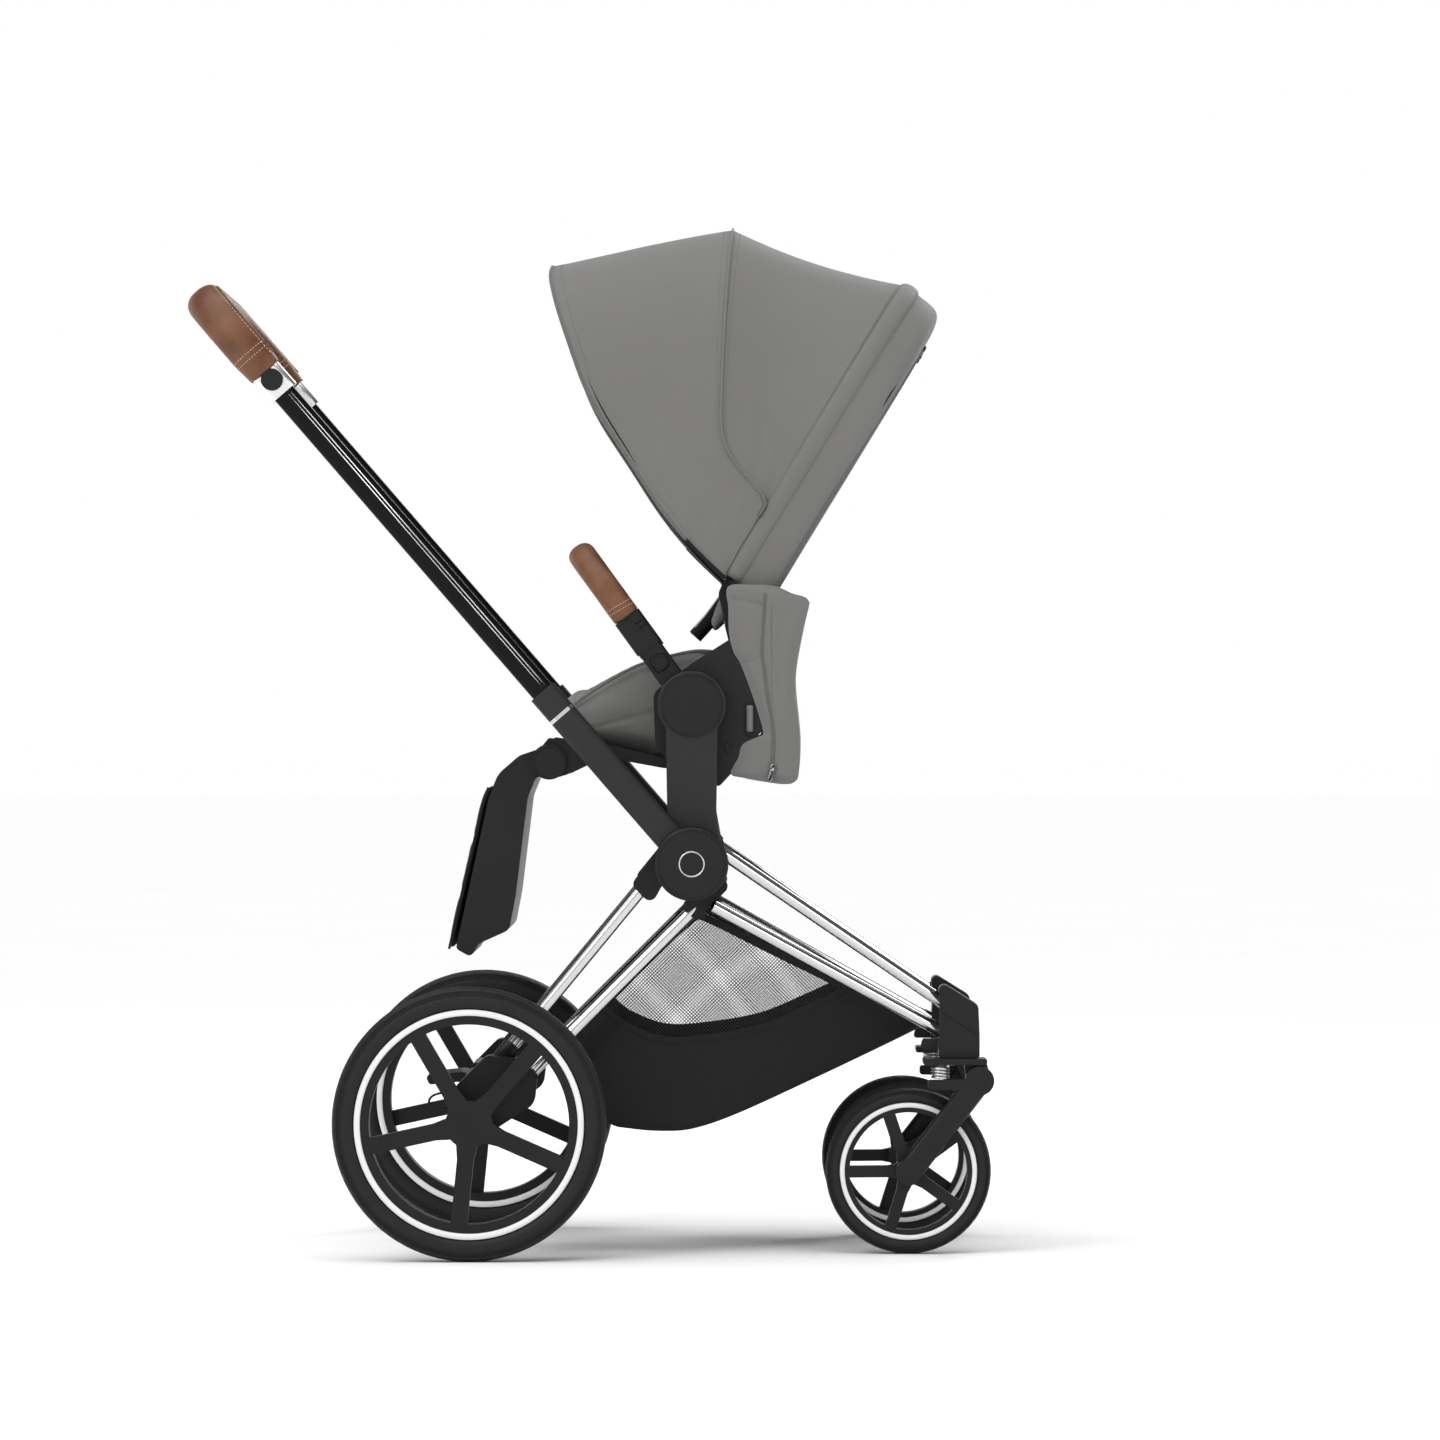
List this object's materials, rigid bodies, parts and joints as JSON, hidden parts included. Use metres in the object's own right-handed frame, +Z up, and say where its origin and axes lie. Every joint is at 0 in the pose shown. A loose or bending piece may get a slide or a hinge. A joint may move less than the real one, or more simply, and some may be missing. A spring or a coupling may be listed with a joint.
{
  "type": "baby stroller",
  "caption": "Four-wheel folding baby stroller with a reclining reversible seat, folding hood, leg rest, bumper bar, telescopic handle and under-seat basket.",
  "frame": {"origin": "on the floor, under the centre of the stroller's bounding box", "axes": "+X towards the front castor wheels, +Y to one side, +Z up; the push handle is at -X"},
  "size_m": [0.8532, 0.6, 1.1175],
  "materials": {
    "chrome_tubes": "polished chrome-plated tube",
    "black_plastic": "fine-grained moulded black plastic",
    "dark_grey_coat": "matte dark grey coating",
    "gloss_black": "gloss black anodised",
    "chrome_trim": "polished inlay ring",
    "bracket_silver": "light silver paint",
    "spring_steel": "bright steel",
    "frame_aluminium": "plain aluminium tube",
    "brown_leather": "brown imitation leather with cream stitching",
    "tyre_rubber": "black rubber with fine grooves",
    "rim_plastic": "satin black moulded rim",
    "grey_fabric": "mid grey woven fabric",
    "black_fabric": "black woven and mesh fabric"
  },
  "bodies": {
    "front_frame": {"front_leg_tubes": "chrome_tubes", "hub_cores": "black_plastic", "hub_caps": "black_plastic", "seat_posts": "dark_grey_coat", "seat_hub_discs": "black_plastic", "front_housings": "black_plastic", "castor_sockets": "black_plastic", "front_cross_bar": "black_plastic", "side_plates": "black_plastic", "bumper_sockets": "black_plastic", "seat_frame_tubes": "frame_aluminium", "lower_back_cover": "grey_fabric", "basket": "black_fabric"},
    "handle_lower": {"handle_sleeves": "dark_grey_coat", "handle_rings": "chrome_trim"},
    "handle_upper": {"handle_tubes": "gloss_black", "handle_brackets": "bracket_silver", "handle_crossbar": "frame_aluminium", "handle_grip": "brown_leather"},
    "rear_frame": {"rear_leg_tubes": "chrome_tubes", "rear_knuckles": "black_plastic", "rear_housings": "black_plastic", "rear_cross_beam": "black_plastic"},
    "brake_pedal": {"brake_pedal": "black_plastic"},
    "bumper": {"bumper_bar": "black_plastic", "bumper_grip": "brown_leather"},
    "seat_base": {"seat_pan": "black_plastic", "seat_cushion": "grey_fabric", "crotch_buckle": "black_fabric"},
    "leg_rest": {"leg_rest_shell": "black_plastic", "leg_rest_pad": "black_fabric"},
    "backrest": {"backrest_board": "black_plastic", "back_pad": "grey_fabric", "shoulder_straps": "black_fabric", "hood_rear": "grey_fabric"},
    "hood_middle": {"hood_middle": "grey_fabric"},
    "hood_front": {"hood_front": "grey_fabric"},
    "handle_button_left": {"handle_button_left": "black_plastic"},
    "bumper_button_left": {"bumper_button_left": "black_plastic"},
    "brake_pin_left": {"brake_pin_left": "spring_steel"},
    "swivel_lock_left": {"swivel_lock_left": "black_plastic"},
    "castor_left": {"castor_yoke_left": "black_plastic", "fork_spring_left": "spring_steel"},
    "fork_left": {"fork_arm_left": "black_plastic"},
    "front_wheel_left": {"front_rim_left": "rim_plastic", "front_tyre_left": "tyre_rubber"},
    "rear_wheel_left": {"rear_rim_left": "rim_plastic", "rear_tyre_left": "tyre_rubber"},
    "handle_button_right": {"handle_button_right": "black_plastic"},
    "bumper_button_right": {"bumper_button_right": "black_plastic"},
    "brake_pin_right": {"brake_pin_right": "spring_steel"},
    "swivel_lock_right": {"swivel_lock_right": "black_plastic"},
    "castor_right": {"castor_yoke_right": "black_plastic", "fork_spring_right": "spring_steel"},
    "fork_right": {"fork_arm_right": "black_plastic"},
    "front_wheel_right": {"front_rim_right": "rim_plastic", "front_tyre_right": "tyre_rubber"},
    "rear_wheel_right": {"rear_rim_right": "rim_plastic", "rear_tyre_right": "tyre_rubber"}
  },
  "joints": [
    {"name": "handle_fold", "type": "hinge", "parent": "front_frame", "child": "handle_lower", "pos_m": [0.105, 0, 0.4186], "axis": [0, 1, 0], "range_deg": [0, 150]},
    {"name": "handle_telescope", "type": "slide", "parent": "handle_lower", "child": "handle_upper", "axis": [-0.6547, 0, 0.7559], "range_m": [-0.06, 0]},
    {"name": "rear_frame_fold", "type": "hinge", "parent": "front_frame", "child": "rear_frame", "pos_m": [0.105, 0, 0.4186], "axis": [0, 1, 0], "range_deg": [-51, 0]},
    {"name": "brake_pedal_tilt", "type": "hinge", "parent": "rear_frame", "child": "brake_pedal", "pos_m": [-0.139, 0, 0.184], "axis": [0, -1, 0], "range_deg": [0, 18], "stiffness_Nm_per_rad": 0.15, "springref_deg": -34.38},
    {"name": "bumper_pull", "type": "slide", "parent": "front_frame", "child": "bumper", "axis": [-0.5878, 0, 0.809], "range_m": [0, 0.07]},
    {"name": "seat_slide", "type": "slide", "parent": "front_frame", "child": "seat_base", "axis": [-1, 0, 0], "range_m": [0, 0.08]},
    {"name": "leg_rest_tilt", "type": "hinge", "parent": "seat_base", "child": "leg_rest", "pos_m": [-0.0475, 0, 0.5263], "axis": [0, 1, 0], "range_deg": [0, 76]},
    {"name": "backrest_recline", "type": "hinge", "parent": "front_frame", "child": "backrest", "pos_m": [0.1756, 0, 0.638], "axis": [0, 1, 0], "range_deg": [0, 67]},
    {"name": "hood_front_fold", "type": "hinge", "parent": "backrest", "child": "hood_front", "pos_m": [0.149, 0, 0.7145], "axis": [0, 1, 0], "range_deg": [0, 40]},
    {"name": "hood_middle_fold", "type": "hinge", "parent": "backrest", "child": "hood_middle", "pos_m": [0.149, 0, 0.7145], "axis": [0, 1, 0], "range_deg": [0, 21]},
    {"name": "castor_swivel_right", "type": "hinge", "parent": "front_frame", "child": "castor_right", "pos_m": [0.39, 0.15, 0.2], "axis": [0, 0, 1], "continuous": true},
    {"name": "fork_suspension_right", "type": "hinge", "parent": "castor_right", "child": "fork_right", "pos_m": [0.412, 0.179, 0.186], "axis": [0, 1, 0], "range_deg": [0, 6], "stiffness_Nm_per_rad": 25, "springref_deg": -14.32, "deforming": ["fork_spring_right"]},
    {"name": "front_wheel_spin_right", "type": "hinge", "parent": "fork_right", "child": "front_wheel_right", "pos_m": [0.3365, 0.15, 0.0885], "axis": [0, 1, 0], "continuous": true},
    {"name": "rear_wheel_spin_right", "type": "hinge", "parent": "rear_frame", "child": "rear_wheel_right", "pos_m": [-0.1294, 0.28, 0.145], "axis": [0, 1, 0], "continuous": true},
    {"name": "brake_pin_slide_right", "type": "slide", "parent": "rear_frame", "child": "brake_pin_right", "axis": [0, 1, 0], "range_m": [0, 0.014]},
    {"name": "swivel_lock_slide_right", "type": "slide", "parent": "front_frame", "child": "swivel_lock_right", "axis": [0, 0, -1], "range_m": [0, 0.006]},
    {"name": "handle_button_press_right", "type": "slide", "parent": "handle_upper", "child": "handle_button_right", "axis": [0, -1, 0], "range_m": [0, 0.002], "stiffness_N_per_m": 300, "springref_m": -0.002},
    {"name": "bumper_button_press_right", "type": "slide", "parent": "bumper", "child": "bumper_button_right", "axis": [0, -1, 0], "range_m": [0, 0.002], "stiffness_N_per_m": 300, "springref_m": -0.002},
    {"name": "castor_swivel_left", "type": "hinge", "parent": "front_frame", "child": "castor_left", "pos_m": [0.39, -0.15, 0.2], "axis": [0, 0, 1], "continuous": true},
    {"name": "fork_suspension_left", "type": "hinge", "parent": "castor_left", "child": "fork_left", "pos_m": [0.412, -0.179, 0.186], "axis": [0, 1, 0], "range_deg": [0, 6], "stiffness_Nm_per_rad": 25, "springref_deg": -14.32, "deforming": ["fork_spring_left"]},
    {"name": "front_wheel_spin_left", "type": "hinge", "parent": "fork_left", "child": "front_wheel_left", "pos_m": [0.3365, -0.15, 0.0885], "axis": [0, 1, 0], "continuous": true},
    {"name": "rear_wheel_spin_left", "type": "hinge", "parent": "rear_frame", "child": "rear_wheel_left", "pos_m": [-0.1294, -0.28, 0.145], "axis": [0, 1, 0], "continuous": true},
    {"name": "brake_pin_slide_left", "type": "slide", "parent": "rear_frame", "child": "brake_pin_left", "axis": [0, -1, 0], "range_m": [0, 0.014]},
    {"name": "swivel_lock_slide_left", "type": "slide", "parent": "front_frame", "child": "swivel_lock_left", "axis": [0, 0, -1], "range_m": [0, 0.006]},
    {"name": "handle_button_press_left", "type": "slide", "parent": "handle_upper", "child": "handle_button_left", "axis": [0, 1, 0], "range_m": [0, 0.002], "stiffness_N_per_m": 300, "springref_m": -0.002},
    {"name": "bumper_button_press_left", "type": "slide", "parent": "bumper", "child": "bumper_button_left", "axis": [0, 1, 0], "range_m": [0, 0.002], "stiffness_N_per_m": 300, "springref_m": -0.002}
  ],
  "couplings": [
    {"joint": "rear_frame_fold", "follows": "handle_fold", "ratio": -0.33333},
    {"joint": "seat_slide", "follows": "backrest_recline", "m_per_rad": 0.064},
    {"joint": "hood_middle_fold", "follows": "hood_front_fold", "ratio": 0.5},
    {"joint": "brake_pin_slide_right", "follows": "brake_pedal_tilt", "m_per_rad": 0.038},
    {"joint": "brake_pin_slide_left", "follows": "brake_pedal_tilt", "m_per_rad": 0.038}
  ]
}
